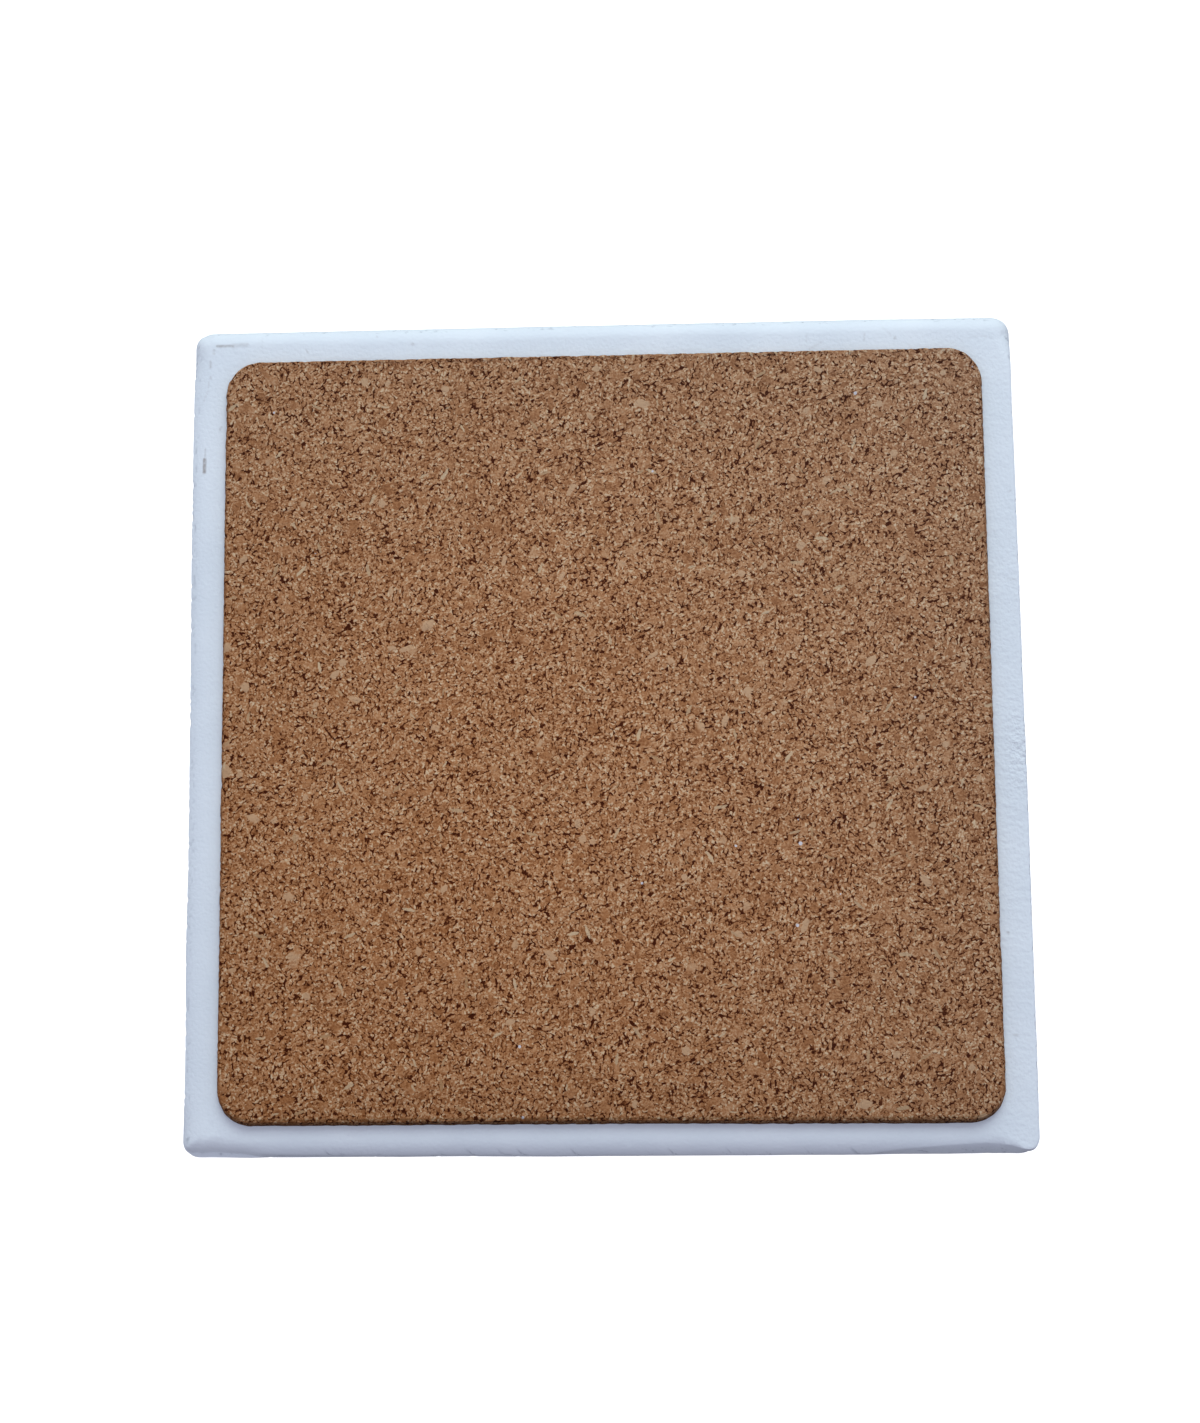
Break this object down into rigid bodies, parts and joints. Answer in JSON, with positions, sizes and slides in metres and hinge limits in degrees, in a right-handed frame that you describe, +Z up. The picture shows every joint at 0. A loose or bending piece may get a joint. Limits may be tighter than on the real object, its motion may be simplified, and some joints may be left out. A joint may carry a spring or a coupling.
{
  "type": "drink coaster",
  "caption": "Square ceramic drink coaster with softly rounded edges and a die-cut cork sheet glued to its underside, stored cork side up.",
  "frame": {"origin": "centre of the drinking face, on the surface that the coaster lies on when it is turned over as in the picture", "axes": "+Z up, out of the cork's rest face; +X and +Y along the sides of the tile, +Y towards the top of the picture"},
  "size_m": [0.1, 0.1, 0.0071],
  "materials": {
    "ceramic": "matt white fired body",
    "adhesive": "pale acrylic adhesive film",
    "cork": "agglomerated cork, sanded"
  },
  "bodies": {
    "root": {"ceramic_tile": "ceramic", "adhesive_film": "adhesive", "cork_backing": "cork"}
  },
  "joints": []
}
